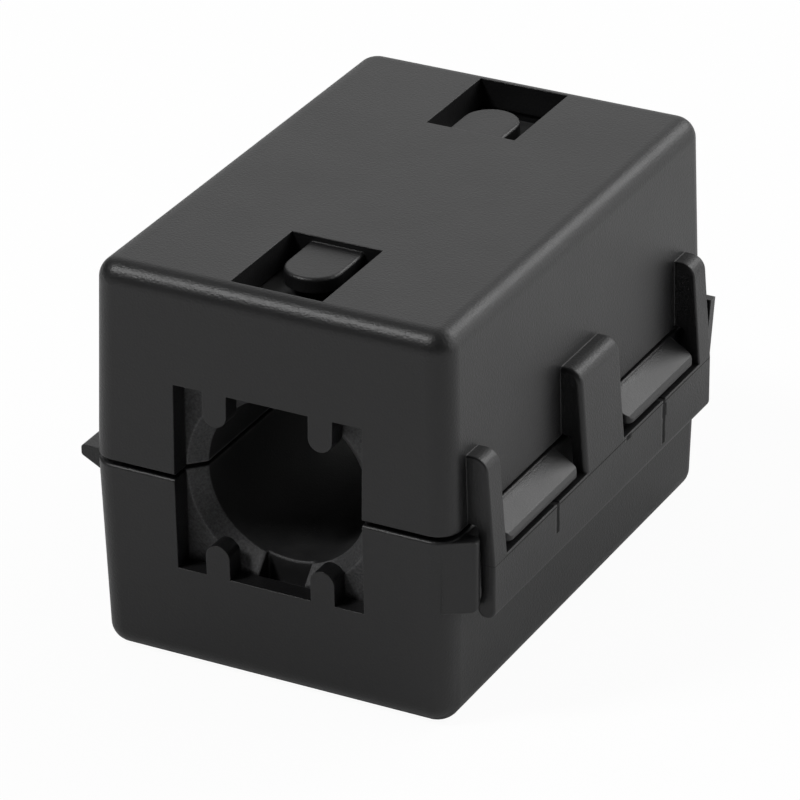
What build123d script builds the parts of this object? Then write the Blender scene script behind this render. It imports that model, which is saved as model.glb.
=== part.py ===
import os
from math import cos, radians, sin, tan

from build123d import *

# Clip-on cable filter: two hinged plastic half cases, each holding half of a ferrite sleeve,
# shut by a springy three-armed loop that drops over two catches.
# Frame: origin on the bore axis at mid length, +Y along the bore to the back, +Z up.

# Closed case
case_length = 32.3
case_width = 21.8
upper_height = 11.75
lower_height = 11.58
case_draft = 1.4
case_corner_radius = 1.35
case_edge_radius = 1.2
parting_gap = 0.26
rim_radius = 0.15
side_wall = 1.5
end_wall = 1.3
roof_wall = 1.7
floor_wall = 1.53

# Cable opening in each end wall, with soft fingers
opening_width = 11.34
opening_height = 5.55
finger_spacing = 6.36
finger_width = 1.44
finger_length = 1.95

# Windows in the top and the bottom, each with a sprung tongue
window_width = 5.5
window_length = 6.83
window_edge = 1.43
tongue_width = 3.34
tongue_length = 4.2
tongue_thickness = 0.85
tongue_recess = 0.35
tongue_rounding = 0.2

# Ferrite sleeve, cut in two along the parting plane
bore_radius = 4.85
bore_chamfer = 0.85
core_clearance = 0.15
core_gap = 0.28
core_edge_chamfer = 0.6
core_notch_width = 2.8
core_notch_length = 1.1
core_notch_height = 1.6

# Loop latch on the right: arms on the upper case, below them springy straps that carry a band
latch_front_margin = 2.0
latch_rear_margin = 2.8
latch_top = 4.3
latch_reach = 1.22
latch_shoulder_radius = 0.85
latch_split = 0.2
arm_width = 1.51
arm_edge_radius = 0.1
middle_arm_width = 4.92
middle_arm_edge_radius = 0.3
web_root = 0.32
web_foot = 0.3
web_foot_radius = 0.25
strap_thickness = 0.8
band_reach = 1.6
band_drop = 1.8
band_crease_drop = 0.15
band_height = 3.35
bead_thickness = 1.0
bead_height = 0.75
bead_slope_height = 0.5
bead_radius = 0.48
bead_blend_radius = 0.4

# Catches on the right of the lower case, and a guide at each end of the latch
catch_inner_gap = 0.765
catch_outer_gap = 0.465
catch_reach = 1.48
catch_drop = 0.2
catch_slope_height = 0.9
catch_nose_height = 0.35
catch_end_radius = 0.46
catch_facet = 0.15
guide_gap = 0.22
front_guide_reach = 0.95
front_guide_slant = 33
front_guide_drop = 0.2
front_guide_height = 4.25
front_guide_edge = 0.3
rear_guide_length = 0.6
rear_guide_reach = 1.45
rear_guide_foot_reach = 1.17
rear_guide_above = 1.45
rear_guide_below = 2.4
rear_guide_clearance = 0.25

# Hinge on the left: a bar between ears on the lower case, hooks on the upper case
hinge_reach = 0.85
hinge_drop = 0.6
hinge_bar_radius = 0.4
hinge_clearance = 0.1
hook_wall = 0.55
hook_mouth_angle = 80
hook_root_top = 1.9
hook_inner_gap = 0.9
hook_outer_gap = 1.45
hook_side_gap = 0.3
hook_pocket_gap = 0.15
ear_margin = 1.4
ear_length = 2.4
ear_reach = 1.37
ear_face_height = 0.62
ear_foot_drop = 1.47
ear_edge_radius = 0.2

embed = 0.4
overrun = 1.0

wall_x = case_width / 2
rim_z = parting_gap / 2
cavity_width = case_width - 2 * side_wall
cavity_length = case_length - 2 * end_wall
upper_cavity = upper_height - roof_wall
lower_cavity = lower_height - floor_wall
hinge_x = -(wall_x + hinge_reach)
hinge_z = -hinge_drop
hook_bore_radius = hinge_bar_radius + hinge_clearance
hook_radius = hook_bore_radius + hook_wall
end_ear_y = (case_length - ear_length) / 2 - ear_margin
hook_start = ear_length / 2 + hook_inner_gap
hook_length = end_ear_y - ear_length / 2 - hook_outer_gap - hook_start
hook_centre = hook_start + hook_length / 2
band_x = wall_x + band_reach
band_bottom = band_drop + band_height
latch_front = latch_front_margin - case_length / 2
latch_back = case_length / 2 - latch_rear_margin
latch_length = latch_back - latch_front
latch_offset = (latch_back + latch_front) / 2
bridge_length = (latch_length - middle_arm_width) / 2 - arm_width
bridge_y = (middle_arm_width + bridge_length) / 2


def wall_at(z):
    # Half width of the drafted case at height z
    return wall_x - tan(radians(case_draft)) * (abs(z) - rim_z)


def planes_across(*stations):
    # Upright planes across the bore axis, one at each station along it
    return [Plane.XZ.offset(-station) for station in stations]


def case_shell(half_height, cavity_height):
    # One half case, open at the parting plane and standing above it
    window_y = case_length / 2 - window_edge - window_length / 2
    tongue_top = half_height - tongue_recess
    tongue_root = window_y - window_length / 2
    tongue_tip_centre = tongue_root + tongue_length - tongue_width / 2
    with BuildPart() as shell:
        with BuildSketch(Plane.XY.offset(rim_z)):
            Rectangle(case_width, case_length)
        extrude(amount=half_height - rim_z, taper=case_draft)
        upright_edges = shell.edges().filter_by(lambda e: abs(e.tangent_at(0.5).Z) > 0.5)
        fillet(upright_edges, case_corner_radius)
        fillet(shell.faces().sort_by(Axis.Z)[-1].edges(), case_edge_radius)
        fillet(shell.faces().sort_by(Axis.Z)[0].edges(), rim_radius)
        with BuildSketch(Plane.XY.offset(rim_z)):
            Rectangle(cavity_width, cavity_length)
        extrude(amount=cavity_height - rim_z, mode=Mode.SUBTRACT)
        with BuildSketch(Plane.XY.offset(half_height)):
            with Locations((0, window_y), (0, -window_y)):
                Rectangle(window_width, window_length)
        extrude(amount=cavity_height - half_height, mode=Mode.SUBTRACT)
        with BuildSketch(Plane.XY.offset(tongue_top)):
            stem_length = tongue_tip_centre - tongue_root + embed
            for end in (1, -1):
                with Locations((0, end * (tongue_tip_centre - stem_length / 2))):
                    Rectangle(tongue_width, stem_length)
                with Locations((0, end * tongue_tip_centre)):
                    Circle(tongue_width / 2)
        extrude(amount=-tongue_thickness)
        tongue_faces = shell.faces().filter_by(Axis.Z).filter_by_position(
            Axis.Z, tongue_top - rim_radius, tongue_top + rim_radius
        )
        tip_edges = tongue_faces.edges().filter_by(GeomType.CIRCLE)
        fillet(tip_edges, tongue_rounding)
        with BuildSketch(Plane.XZ):
            with Locations((0, opening_height / 2)):
                Rectangle(opening_width, opening_height)
            tip_centre = opening_height - finger_length + finger_width / 2
            with Locations((-finger_spacing / 2, tip_centre), (finger_spacing / 2, tip_centre)):
                Circle(finger_width / 2, mode=Mode.SUBTRACT)
            finger_middle = (tip_centre + opening_height) / 2
            with Locations((-finger_spacing / 2, finger_middle), (finger_spacing / 2, finger_middle)):
                Rectangle(finger_width, opening_height - tip_centre, mode=Mode.SUBTRACT)
        extrude(amount=case_length, both=True, mode=Mode.SUBTRACT)
    return shell.part


def latch_shape():
    # The whole latch: three arms sunk into the upper case's wall, their straps and the band
    latch_top_x = wall_at(latch_top) + latch_reach
    crease_z = -band_drop - band_crease_drop
    outer_slope = (band_x - latch_top_x) / (latch_top - crease_z)
    web_foot_corner = (latch_top_x + outer_slope * (latch_top - web_foot) - strap_thickness, web_foot)
    bead_top = bead_height - band_bottom
    blend_corner = (band_x - strap_thickness, bead_top + bead_slope_height)
    with BuildPart() as latch:
        with BuildSketch(*planes_across(latch_offset)) as profile:
            with BuildLine():
                Polyline(
                    (wall_x - embed, latch_top),
                    (latch_top_x, latch_top),
                    (band_x, crease_z),
                    (band_x, -band_bottom),
                    (band_x - bead_thickness, -band_bottom),
                    (band_x - bead_thickness, bead_top),
                    blend_corner,
                    (band_x - strap_thickness, crease_z),
                    web_foot_corner,
                    (wall_x, web_root),
                    (wall_x - embed, web_root),
                    close=True,
                )
            make_face()
            for corner, radius in (
                ((latch_top_x, latch_top), latch_shoulder_radius),
                ((band_x, -band_bottom), bead_radius),
                ((band_x - bead_thickness, -band_bottom), bead_radius),
                (blend_corner, bead_blend_radius),
                (web_foot_corner, web_foot_radius),
            ):
                fillet(profile.vertices().sort_by_distance(corner).first, radius)
        extrude(amount=latch_length / 2, both=True)

        bridge_top = latch_top + overrun
        bridge_z = (bridge_top - band_drop) / 2
        with BuildSketch(Plane.YZ):
            with Locations((latch_offset + bridge_y, bridge_z), (latch_offset - bridge_y, bridge_z)):
                Rectangle(bridge_length, bridge_top + band_drop)
        extrude(amount=band_x + overrun, mode=Mode.SUBTRACT)

        for first, last, radius in ((0, 2, middle_arm_edge_radius), (2, 6, arm_edge_radius)):
            sides = latch.faces().filter_by(Axis.Y).sort_by(lambda face: abs(face.center().Y - latch_offset))
            long_edges = sides[first:last].edges().filter_by(lambda edge: edge.length > bead_thickness)
            fillet(long_edges.filter_by(lambda edge: edge.center().X > band_x - strap_thickness), radius)
    return latch.part


def latch_arms():
    # The stiff upper part of the latch, which is part of the upper case
    with BuildPart() as arms:
        add(latch_shape())
        split(bisect_by=Plane.XY.offset(latch_split), keep=Keep.TOP)
    return arms.part


# Upper case, with the arms of the latch and the hooks of the hinge
with BuildPart() as upper_case:
    add(case_shell(upper_height, upper_cavity))
    add(latch_arms())
    with BuildSketch(*planes_across(hook_centre, -hook_centre)):
        with Locations((hinge_x, hinge_z)):
            Circle(hook_radius)
        with BuildLine():
            Polyline(
                (-wall_x + embed, hook_root_top),
                (-wall_at(hook_root_top), hook_root_top),
                (hinge_x - hook_radius, hinge_z),
                (hinge_x, hinge_z),
                (-wall_x, rim_z),
                (-wall_x + embed, rim_z),
                close=True,
            )
        make_face()
        with Locations((hinge_x, hinge_z)):
            Circle(hook_bore_radius, mode=Mode.SUBTRACT)
        mouth_reach = hook_radius + overrun
        mouth_side = mouth_reach / tan(radians(hook_mouth_angle))
        with BuildLine():
            Polyline(
                (hinge_x, hinge_z),
                (hinge_x + mouth_side, hinge_z - mouth_reach),
                (hinge_x + mouth_reach, hinge_z - mouth_reach),
                (hinge_x + mouth_reach, hinge_z),
                close=True,
            )
        make_face(mode=Mode.SUBTRACT)
    extrude(amount=hook_length / 2, both=True)
upper_case.part.label = "upper_case"

# Lower case, with the catches and guides on the right and the bar of the hinge on the left
with BuildPart() as lower_case:
    add(case_shell(lower_height, lower_cavity))
    mirror(about=Plane.XY, mode=Mode.REPLACE)

    with BuildSketch(*planes_across(hook_centre, -hook_centre)):
        with Locations((hinge_x, hinge_z)):
            Circle(hook_radius + hook_pocket_gap)
    extrude(amount=hook_length / 2 + hook_side_gap, both=True, mode=Mode.SUBTRACT)

    with BuildSketch(*planes_across(end_ear_y, 0, -end_ear_y)) as ear_profile:
        with BuildLine():
            Polyline(
                (-wall_x + embed, -rim_z),
                (-wall_x - ear_reach, -rim_z),
                (-wall_x - ear_reach, -rim_z - ear_face_height),
                (-wall_x, -ear_foot_drop),
                (-wall_x + embed, -ear_foot_drop),
                close=True,
            )
        make_face()
        outer_corners = ear_profile.vertices().sort_by(Axis.X)[:2]
        fillet(outer_corners, ear_edge_radius)
    extrude(amount=ear_length / 2, both=True)
    with BuildSketch(Plane.XZ):
        with Locations((hinge_x, hinge_z)):
            Circle(hinge_bar_radius)
    extrude(amount=end_ear_y, both=True)

    catch_nose = wall_x + catch_reach
    catch_depth = catch_slope_height + catch_nose_height
    catch_width = catch_reach + embed
    catch_length = bridge_length - catch_inner_gap - catch_outer_gap
    catch_y = bridge_y + (catch_inner_gap - catch_outer_gap) / 2
    with BuildSketch(Plane.XY.offset(-catch_drop)) as catch_plan:
        for side in (1, -1):
            with Locations((catch_nose - catch_width / 2, latch_offset + side * catch_y)):
                Rectangle(catch_width, catch_length)
        fillet(catch_plan.vertices().group_by(Axis.X)[-1], catch_end_radius)
    extrude(amount=-catch_depth)
    slope = catch_slope_height / catch_reach
    slope_end_z = -catch_drop - catch_slope_height
    with BuildSketch(Plane.XZ):
        with BuildLine():
            Polyline(
                (wall_x, -catch_drop),
                (catch_nose - catch_facet, slope_end_z + slope * catch_facet),
                (catch_nose, slope_end_z - catch_facet),
                (catch_nose + overrun, slope_end_z - catch_facet),
                (catch_nose + overrun, -catch_drop),
                close=True,
            )
        make_face()
    extrude(amount=case_length, both=True, mode=Mode.SUBTRACT)

    corner_x = wall_x - case_corner_radius
    corner_y = case_corner_radius - case_length / 2
    front_guide_x = wall_x + front_guide_reach
    front_guide_back = latch_front - guide_gap
    slant = radians(front_guide_slant)
    slant_start_x = corner_x + case_corner_radius * sin(slant)
    slant_start_y = corner_y - case_corner_radius * cos(slant)
    with BuildSketch(Plane.XY.offset(-front_guide_drop)):
        with BuildLine():
            Polyline(
                (corner_x, front_guide_back),
                (front_guide_x, front_guide_back),
                (front_guide_x, slant_start_y + (front_guide_x - slant_start_x) * tan(slant)),
                (slant_start_x, slant_start_y),
                (corner_x, corner_y),
                close=True,
            )
        make_face()
    extrude(amount=-front_guide_height)
    guide_edges = lower_case.edges().filter_by_position(Axis.Y, -case_length / 2, front_guide_back)
    fillet(guide_edges.filter_by_position(Axis.X, front_guide_x, front_guide_x), front_guide_edge)

    with BuildSketch(*planes_across(latch_back + guide_gap)):
        with BuildLine():
            Polyline(
                (wall_x - embed, -catch_drop),
                (wall_x + rear_guide_clearance, -catch_drop),
                (wall_x + rear_guide_clearance, rear_guide_above),
                (wall_x + rear_guide_reach, rear_guide_above),
                (wall_x + rear_guide_foot_reach, -rear_guide_below),
                (wall_x - embed, -rear_guide_below),
                close=True,
            )
        make_face()
    extrude(amount=-rear_guide_length)
lower_case.part.label = "lower_case"

# Springy part of the latch: three straps and the band that drops over the catches
with BuildPart() as latch_loop:
    add(latch_shape())
    split(bisect_by=Plane.XY.offset(latch_split), keep=Keep.BOTTOM)
latch_loop.part.label = "latch_loop"


def core_half(cavity_height):
    # Upper half of the ferrite sleeve, with a flared mouth at each end
    core_width = cavity_width - 2 * core_clearance
    core_length = cavity_length - 2 * core_clearance
    core_top = cavity_height - core_clearance
    with BuildPart() as half:
        with BuildSketch(Plane.XY.offset(core_gap / 2)):
            Rectangle(core_width, core_length)
        extrude(amount=core_top - core_gap / 2)
        chamfer(half.faces().sort_by(Axis.Z)[-1].edges(), core_edge_chamfer)
        with BuildSketch(Plane.YZ):
            with BuildLine():
                Polyline(
                    (-core_length / 2, 0),
                    (-core_length / 2, bore_radius + bore_chamfer),
                    (-core_length / 2 + bore_chamfer, bore_radius),
                    (core_length / 2 - bore_chamfer, bore_radius),
                    (core_length / 2, bore_radius + bore_chamfer),
                    (core_length / 2, 0),
                    close=True,
                )
            make_face()
        revolve(axis=Axis.Y, mode=Mode.SUBTRACT)
        notch_top = bore_radius + core_notch_height
        notch_y = (core_length - core_notch_length) / 2
        with BuildSketch():
            with Locations((0, notch_y), (0, -notch_y)):
                Rectangle(core_notch_width, core_notch_length)
        extrude(amount=notch_top, mode=Mode.SUBTRACT)
    return half.part


# Upper and lower halves of the ferrite sleeve
with BuildPart() as upper_core:
    add(core_half(upper_cavity))
upper_core.part.label = "upper_core"

with BuildPart() as lower_core:
    add(core_half(lower_cavity))
    mirror(about=Plane.XY, mode=Mode.REPLACE)
lower_core.part.label = "lower_core"

os.makedirs("parts", exist_ok=True)
export_step(upper_case.part, "parts/upper_case.step")
export_step(lower_case.part, "parts/lower_case.step")
export_step(latch_loop.part, "parts/latch_loop.step")
export_step(upper_core.part, "parts/upper_core.step")
export_step(lower_core.part, "parts/lower_core.step")
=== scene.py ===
import math

import bpy
from mathutils import Matrix, Vector


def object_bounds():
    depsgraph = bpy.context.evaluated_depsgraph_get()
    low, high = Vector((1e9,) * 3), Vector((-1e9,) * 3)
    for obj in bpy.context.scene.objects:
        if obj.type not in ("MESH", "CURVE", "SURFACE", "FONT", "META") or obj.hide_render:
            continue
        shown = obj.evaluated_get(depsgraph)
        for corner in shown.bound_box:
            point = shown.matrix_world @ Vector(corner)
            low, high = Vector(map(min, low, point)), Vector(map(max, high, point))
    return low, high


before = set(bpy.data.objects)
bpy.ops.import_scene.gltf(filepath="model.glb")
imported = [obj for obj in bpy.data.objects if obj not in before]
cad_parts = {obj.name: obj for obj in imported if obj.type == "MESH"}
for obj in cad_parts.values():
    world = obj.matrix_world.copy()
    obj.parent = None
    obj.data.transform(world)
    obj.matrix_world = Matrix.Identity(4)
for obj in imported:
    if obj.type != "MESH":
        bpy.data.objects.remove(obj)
cadLow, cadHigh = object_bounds()
print("frame loaded:", ", ".join(sorted(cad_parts)))

mm = 0.001
wholeSpan = (0.0, 1.0)
noiseMiddle = 0.5      # what a noise texture gives on average
floatSocket = "NodeSocketFloat"
vectorSocket = "NodeSocketVector"


# a socket takes another node's output or a fixed value
def feed(socket, value):
    if isinstance(value, bpy.types.NodeSocket):
        socket.id_data.links.new(value, socket)
    else:
        socket.default_value = value


def mathNode(nodes, operation, *values, clamp=False):
    node = nodes.new("ShaderNodeMath")
    node.operation = operation
    node.use_clamp = clamp
    for socket, value in zip(node.inputs, values):
        feed(socket, value)
    return node.outputs[0]


def dotNode(nodes, first, second):
    node = nodes.new("ShaderNodeVectorMath")
    node.operation = "DOT_PRODUCT"
    feed(node.inputs[0], first)
    feed(node.inputs[1], second)
    return node.outputs["Value"]


def rangeNode(nodes, value, start, end, blend="LINEAR"):
    node = nodes.new("ShaderNodeMapRange")
    node.interpolation_type = blend
    for name, limit in zip(("From Min", "From Max", "To Min", "To Max"), start + end):
        node.inputs[name].default_value = limit
    feed(node.inputs["Value"], value)
    return node.outputs["Result"]


def mixNode(nodes, kind, factor, first, second):
    node = nodes.new("ShaderNodeMix")
    node.data_type = kind
    feed(node.inputs["Factor"], factor)
    feed(node.inputs["A"], first)
    feed(node.inputs["B"], second)
    return node.outputs["Result"]


# camera at the photograph's viewing angle
cameraView = {
    "place": Vector((119.0, -228.9, 131.75)) * mm,
    "look": Vector((-0.41105, 0.78784, -0.45877)),
    "roll": math.radians(-0.46),
    "lens": 234.8,
    "sensor": 36.0,
    "near": 0.01,
    "far": 20.0,
}


def addCamera(view):
    bpy.ops.object.camera_add(location=view["place"])
    camera = bpy.context.object
    camera.name = "photoCamera"
    turn = view["look"].to_track_quat("-Z", "Y").to_matrix() @ Matrix.Rotation(view["roll"], 3, "Z")
    camera.rotation_euler = turn.to_euler()
    camera.data.lens = view["lens"]
    camera.data.sensor_width = view["sensor"]
    camera.data.clip_start = view["near"]
    camera.data.clip_end = view["far"]
    bpy.context.scene.camera = camera


# studio: pale floor that the camera sees nearly white, soft world, soft lamps
studio = {
    "floorSize": 6.0,
    "floorColour": (0.90, 0.90, 0.90, 1.0),
    "floorWhite": 0.95,                  # share of plain white in what the camera sees of the floor
    "sweepSide": (0.0, 0.90, 0.43),      # the light backdrop behind the object
    "sweepSpread": (0.30, 0.90),
    "worldColour": (1.0, 1.0, 1.0, 1.0),
    "worldStrength": (0.08, 0.60),       # in the dark of the room, and on the backdrop
    "worldSeen": 1.0,                    # plain white where the camera looks past the floor
    "lamps": [
        # name, place in metres, size in metres, power in watts
        ("backLeftSoftbox", (-0.42, 0.72, 0.46), 0.60, 0.45),
        ("backRightSoftbox", (0.33, 0.75, 0.50), 0.40, 2.4),
        ("rightSoftbox", (0.85, 0.45, 0.34), 1.00, 5.0),
        ("frontTopSoftbox", (-0.41, -0.43, 0.76), 0.20, 5.0),
    ],
}


def addFloor(settings, height):
    bpy.ops.mesh.primitive_plane_add(size=settings["floorSize"], location=(0, 0, height))
    floor = bpy.context.object
    floor.name = "studioFloor"
    material = bpy.data.materials.new("paleFloor")
    material.use_nodes = True
    nodes = material.node_tree.nodes
    nodes.clear()
    output = nodes.new("ShaderNodeOutputMaterial")
    matte = nodes.new("ShaderNodeBsdfDiffuse")
    matte.inputs["Color"].default_value = settings["floorColour"]
    white = nodes.new("ShaderNodeEmission")
    path = nodes.new("ShaderNodeLightPath")
    seen = mathNode(nodes, "MULTIPLY", path.outputs["Is Camera Ray"], settings["floorWhite"])
    both = nodes.new("ShaderNodeMixShader")
    feed(both.inputs["Fac"], seen)
    feed(both.inputs[1], matte.outputs[0])
    feed(both.inputs[2], white.outputs[0])
    feed(output.inputs["Surface"], both.outputs[0])
    floor.data.materials.append(material)


def addWorld(settings):
    world = bpy.data.worlds.new("softStudio")
    world.use_nodes = True
    nodes = world.node_tree.nodes
    background = nodes["Background"]
    background.inputs["Color"].default_value = settings["worldColour"]
    place = nodes.new("ShaderNodeTexCoord")
    toward = dotNode(nodes, place.outputs["Generated"], settings["sweepSide"])
    lit = rangeNode(nodes, toward, settings["sweepSpread"], settings["worldStrength"], "SMOOTHSTEP")
    path = nodes.new("ShaderNodeLightPath")
    strength = mixNode(nodes, "FLOAT", path.outputs["Is Camera Ray"], lit, settings["worldSeen"])
    feed(background.inputs["Strength"], strength)
    bpy.context.scene.world = world


def addLamps(settings):
    for name, place, size, power in settings["lamps"]:
        bpy.ops.object.light_add(type="AREA", location=place)
        lamp = bpy.context.object
        lamp.name = name
        lamp.rotation_euler = (-Vector(place)).to_track_quat("-Z", "Y").to_euler()
        lamp.data.size = size
        lamp.data.energy = power


def newGroup(name, inputs, outputs):
    group = bpy.data.node_groups.new(name, "ShaderNodeTree")
    for way, sockets in (("INPUT", inputs), ("OUTPUT", outputs)):
        for socketName, socketType in sockets.items():
            group.interface.new_socket(socketName, in_out=way, socket_type=socketType)
    return group, group.nodes.new("NodeGroupInput"), group.nodes.new("NodeGroupOutput")


# fine spark-eroded mould grain: a height for bump, a slow mottling for colour and gloss, a speckle
grainShape = {
    "fineDetail": 3.0,
    "fineRoughness": 0.6,
    "slowDetail": 4.0,
    "slowRoughness": 0.55,
    "pitShare": 0.5,
}


def makeGrainGroup(shape):
    inputs = {"Position": vectorSocket, "Grain Scale": floatSocket, "Mottle Scale": floatSocket}
    outputs = {"Height": floatSocket, "Mottle": floatSocket, "Speckle": floatSocket}
    group, entry, exitNode = newGroup("mouldGrain", inputs, outputs)
    nodes = group.nodes
    fine = nodes.new("ShaderNodeTexNoise")
    fine.inputs["Detail"].default_value = shape["fineDetail"]
    fine.inputs["Roughness"].default_value = shape["fineRoughness"]
    slow = nodes.new("ShaderNodeTexNoise")
    slow.inputs["Detail"].default_value = shape["slowDetail"]
    slow.inputs["Roughness"].default_value = shape["slowRoughness"]
    pits = nodes.new("ShaderNodeTexVoronoi")
    for texture, scale in ((fine, "Grain Scale"), (slow, "Mottle Scale"), (pits, "Grain Scale")):
        feed(texture.inputs["Vector"], entry.outputs["Position"])
        feed(texture.inputs["Scale"], entry.outputs[scale])
    hollow = mathNode(nodes, "MULTIPLY", pits.outputs["Distance"], shape["pitShare"])
    feed(exitNode.inputs["Height"], mathNode(nodes, "ADD", fine.outputs["Fac"], hollow))
    feed(exitNode.inputs["Mottle"], slow.outputs["Fac"])
    feed(exitNode.inputs["Speckle"], fine.outputs["Fac"])
    return group


# edges: how far a softened normal leaves the face's own, as a mask that the speckle breaks up; the
# paler colour laid there is a painted highlight on the plastic's edges and pale chips on the
# ferrite's
def makeEdgeGroup():
    inputs = {"Soft Normal": vectorSocket, "Speckle": floatSocket, "Gain": floatSocket}
    group, entry, exitNode = newGroup("edgeChipsAndHighlight", inputs, {"Mask": floatSocket})
    nodes = group.nodes
    geometry = nodes.new("ShaderNodeNewGeometry")
    along = dotNode(nodes, entry.outputs["Soft Normal"], geometry.outputs["Normal"])
    turned = mathNode(nodes, "SUBTRACT", 1.0, along, clamp=True)
    gained = mathNode(nodes, "MULTIPLY", turned, entry.outputs["Gain"], clamp=True)
    mask = mathNode(nodes, "MULTIPLY", gained, entry.outputs["Speckle"], clamp=True)
    feed(exitNode.inputs["Mask"], mask)
    return group


grainGroup = makeGrainGroup(grainShape)
edgeGroup = makeEdgeGroup()

bevelSamples = 6
casePlastic = {
    "dark": (0.0062, 0.0062, 0.0066, 1.0),
    "pale": (0.0090, 0.0090, 0.0094, 1.0),
    # paler colour along the edges: a painted highlight on the rounded edges
    "edge": (0.0200, 0.0200, 0.0205, 1.0),
    "roughness": (0.37, 0.45),
    "specular": 0.42,
    "grainScale": 7500.0,
    "mottleScale": 260.0,
    "grainStrength": 0.75,
    "grainDepth": 0.020 * mm,
    "edgeRadius": 0.10 * mm,
    "edgeGain": 6.0,
    "flexHeight": 0.20 * mm,      # the straps run on unbroken here, so no edge shows
    "flexReach": 0.25 * mm,
    "flexStart": 11.2 * mm,
    "smoothSpan": None,
    "groundEnds": None,
    "marks": [],
}
# on the lower half, the catches and guides that the latch rubs are smoother
lowerPlastic = {
    **casePlastic,
    "smoothSpan": (10.95 * mm, 11.25 * mm),
    "smoothGrain": (1.0, 0.35),
}
bandPlastic = {
    **casePlastic,
    "marks": [
        # what moulding left on the band, and a painted shade line along its crease: place along it,
        # half width, top, bottom
        (-6.55 * mm, 0.15 * mm, -1.79 * mm, -3.59 * mm),      # knit lines
        (7.04 * mm, 0.15 * mm, -1.76 * mm, -4.52 * mm),
        (7.06 * mm, 0.24 * mm, -2.10 * mm, -2.90 * mm),
        (2.40 * mm, 0.28 * mm, -1.84 * mm, -2.12 * mm),       # speck
        (0.00 * mm, 16.0 * mm, -1.92 * mm, -1.98 * mm),       # crease: painted shade where the band folds
    ],
    "markWander": 0.16 * mm,
    "markScale": 1400.0,
    "markColour": (0.0006, 0.0006, 0.0007, 1.0),
    "markDepth": 7.0,
    "markFill": 1.6,      # over 1, the middle of a mark is flat and fully dark
}
ferrite = {
    "dark": (0.0070, 0.0070, 0.0074, 1.0),
    "pale": (0.0200, 0.0200, 0.0206, 1.0),
    "edge": (0.1500, 0.1500, 0.1530, 1.0),
    "roughness": (0.48, 0.68),
    "specular": 0.40,
    "grainScale": 7800.0,
    "mottleScale": 900.0,
    "grainStrength": 0.40,
    "grainDepth": 0.022 * mm,
    "edgeRadius": 0.25 * mm,
    "edgeGain": 9.0,
    "flexStart": None,
    "smoothSpan": None,
    "groundEnds": (13.70 * mm, 13.95 * mm),     # the mouths and end faces are ground, so paler
    "groundDark": (0.0260, 0.0260, 0.0267, 1.0),
    "groundPale": (0.0640, 0.0640, 0.0655, 1.0),
    "groundSpeckle": (0.34, 0.68),
    "slotHalfWidth": 1.45 * mm,                 # but the slot in each mouth is as fired
    "marks": [],
}


def edgeRadiusAt(nodes, axes, look):
    away = mathNode(nodes, "SUBTRACT", axes["Z"], look["flexHeight"])
    away = mathNode(nodes, "DIVIDE", mathNode(nodes, "ABSOLUTE", away), look["flexReach"], clamp=True)
    inside = mathNode(nodes, "LESS_THAN", axes["X"], look["flexStart"])
    return mathNode(nodes, "MULTIPLY", mathNode(nodes, "MAXIMUM", away, inside), look["edgeRadius"])


# dark lines on the band: moulded knit lines and a speck, and a painted shade line along the crease
def marksMask(nodes, position, axes, look):
    wander = nodes.new("ShaderNodeTexNoise")
    feed(wander.inputs["Scale"], look["markScale"])
    feed(wander.inputs["Vector"], position)
    sway = mathNode(nodes, "SUBTRACT", wander.outputs["Fac"], noiseMiddle)
    along = mathNode(nodes, "ADD", axes["Y"], mathNode(nodes, "MULTIPLY", sway, look["markWander"]))
    total = None
    for place, halfWidth, top, bottom in look["marks"]:
        offset = mathNode(nodes, "ABSOLUTE", mathNode(nodes, "SUBTRACT", along, place))
        offset = mathNode(nodes, "DIVIDE", offset, halfWidth)
        line = mathNode(nodes, "SUBTRACT", look["markFill"], offset, clamp=True)
        below = mathNode(nodes, "LESS_THAN", axes["Z"], top)
        above = mathNode(nodes, "GREATER_THAN", axes["Z"], bottom)
        line = mathNode(nodes, "MULTIPLY", line, mathNode(nodes, "MULTIPLY", below, above))
        total = line if total is None else mathNode(nodes, "MAXIMUM", total, line)
    return total


def groundColour(nodes, body, speckle, axes, look):
    speckles = rangeNode(nodes, speckle, look["groundSpeckle"], wholeSpan)
    ground = mixNode(nodes, "RGBA", speckles, look["groundDark"], look["groundPale"])
    ends = rangeNode(nodes, mathNode(nodes, "ABSOLUTE", axes["Y"]), look["groundEnds"], wholeSpan)
    aside = mathNode(nodes, "ABSOLUTE", axes["X"])
    beside = mathNode(nodes, "GREATER_THAN", aside, look["slotHalfWidth"])
    return mixNode(nodes, "RGBA", mathNode(nodes, "MULTIPLY", ends, beside), body, ground)


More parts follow.
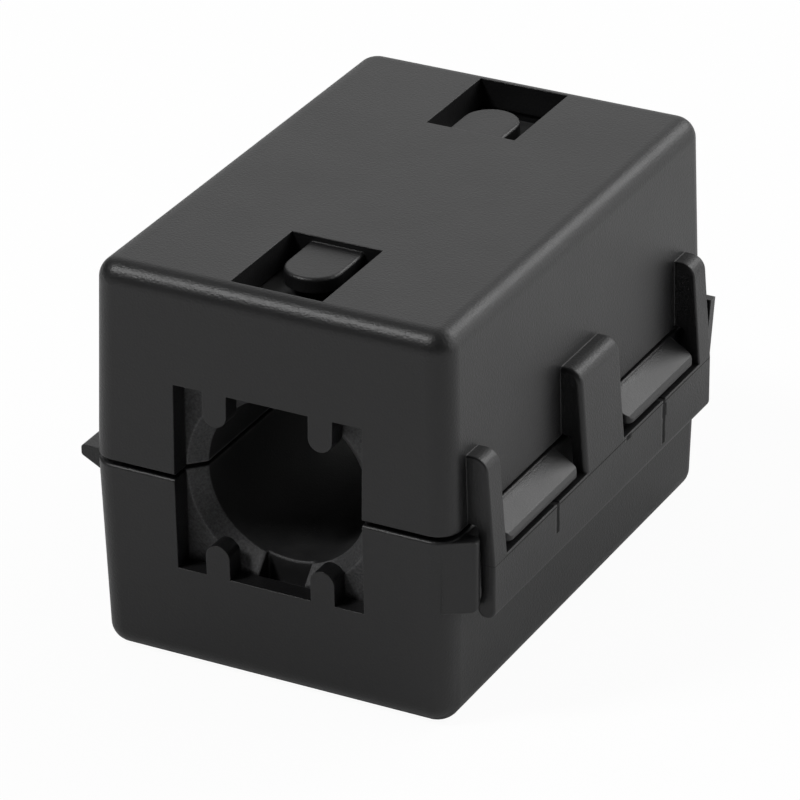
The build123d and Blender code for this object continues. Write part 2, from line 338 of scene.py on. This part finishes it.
def grainedMaterial(name, look):
    material = bpy.data.materials.new(name)
    material.use_nodes = True
    nodes = material.node_tree.nodes
    shader = nodes["Principled BSDF"]
    shader.inputs["Specular IOR Level"].default_value = look["specular"]
    position = nodes.new("ShaderNodeTexCoord").outputs["Object"]
    split = nodes.new("ShaderNodeSeparateXYZ")
    feed(split.inputs["Vector"], position)
    axes = split.outputs
    grain = nodes.new("ShaderNodeGroup")
    grain.node_tree = grainGroup
    grain.inputs["Grain Scale"].default_value = look["grainScale"]
    grain.inputs["Mottle Scale"].default_value = look["mottleScale"]
    feed(grain.inputs["Position"], position)
    soft = nodes.new("ShaderNodeBevel")
    soft.samples = bevelSamples
    radius = edgeRadiusAt(nodes, axes, look) if look["flexStart"] else look["edgeRadius"]
    feed(soft.inputs["Radius"], radius)
    edge = nodes.new("ShaderNodeGroup")
    edge.node_tree = edgeGroup
    edge.inputs["Gain"].default_value = look["edgeGain"]
    feed(edge.inputs["Soft Normal"], soft.outputs["Normal"])
    feed(edge.inputs["Speckle"], grain.outputs["Speckle"])

    colour = mixNode(nodes, "RGBA", grain.outputs["Mottle"], look["dark"], look["pale"])
    dullness = rangeNode(nodes, grain.outputs["Mottle"], wholeSpan, look["roughness"])
    height = grain.outputs["Height"]
    if look["groundEnds"]:
        colour = groundColour(nodes, colour, grain.outputs["Speckle"], axes, look)
    # edges take a paler colour: painted highlight on the plastic, pale chips on the ferrite
    colour = mixNode(nodes, "RGBA", edge.outputs["Mask"], colour, look["edge"])
    if look["smoothSpan"]:
        smoothing = rangeNode(nodes, axes["X"], look["smoothSpan"], look["smoothGrain"])
        height = mathNode(nodes, "MULTIPLY", height, smoothing)
    # dark marks: knit lines and speck, and the painted shade line along the crease
    if look["marks"]:
        marks = marksMask(nodes, position, axes, look)
        colour = mixNode(nodes, "RGBA", marks, colour, look["markColour"])
        dullness = mathNode(nodes, "MAXIMUM", dullness, marks)
        depth = mathNode(nodes, "MULTIPLY", marks, look["markDepth"])
        height = mathNode(nodes, "SUBTRACT", height, depth)

    bump = nodes.new("ShaderNodeBump")
    bump.inputs["Strength"].default_value = look["grainStrength"]
    bump.inputs["Distance"].default_value = look["grainDepth"]
    feed(bump.inputs["Normal"], soft.outputs["Normal"])
    feed(bump.inputs["Height"], height)
    feed(shader.inputs["Base Color"], colour)
    feed(shader.inputs["Roughness"], dullness)
    feed(shader.inputs["Normal"], bump.outputs["Normal"])
    return material


coreMaterial = grainedMaterial("sinteredFerrite", ferrite)
finishes = {
    "upper_case": grainedMaterial("mouldedCasePlastic", casePlastic),
    "lower_case": grainedMaterial("mouldedLowerPlastic", lowerPlastic),
    "latch_loop": grainedMaterial("mouldedBandPlastic", bandPlastic),
    "upper_core": coreMaterial,
    "lower_core": coreMaterial,
}
for nodeName, finish in finishes.items():
    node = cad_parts[nodeName]
    node.data.materials.clear()
    node.data.materials.append(finish)
print("materials on")

bpy.ops.object.select_all(action="DESELECT")
addFloor(studio, cadLow.z)
addWorld(studio)
addLamps(studio)
addCamera(cameraView)
bpy.context.scene.view_settings.view_transform = "Standard"
print("studio ready")
